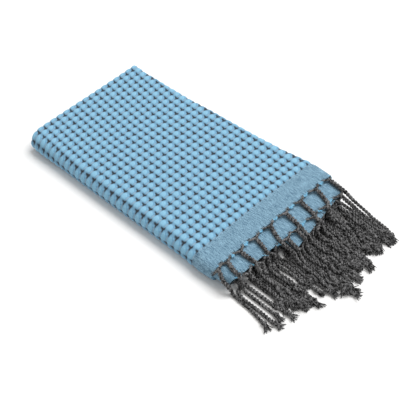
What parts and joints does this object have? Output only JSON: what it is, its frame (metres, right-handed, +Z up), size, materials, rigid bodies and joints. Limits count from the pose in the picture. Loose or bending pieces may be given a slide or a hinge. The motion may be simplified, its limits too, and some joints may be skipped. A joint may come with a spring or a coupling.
{
  "type": "folded fouta towel",
  "caption": "Honeycomb cotton bath and beach towel, folded into a flat stack with a plain border and a long twisted fringe at one end. It lies on a shelf, bench or table.",
  "frame": {"origin": "the middle of the whole towel's underside, fringe included", "axes": "+X along the folded towel towards the fringe, +Z up, and -Y towards the long side where the cloth wraps round in one round fold"},
  "size_m": [0.5356, 0.2506, 0.0312],
  "materials": {
    "cloth": "matte cotton, sky blue honeycomb with charcoal threads and a plain greyer blue border",
    "fringe": "matte cotton, charcoal two-ply twisted cords with frayed ends"
  },
  "bodies": {
    "root": {"towel_cloth": "cloth", "fringe_first_hem": "fringe", "fringe_second_hem": "fringe"}
  },
  "joints": []
}
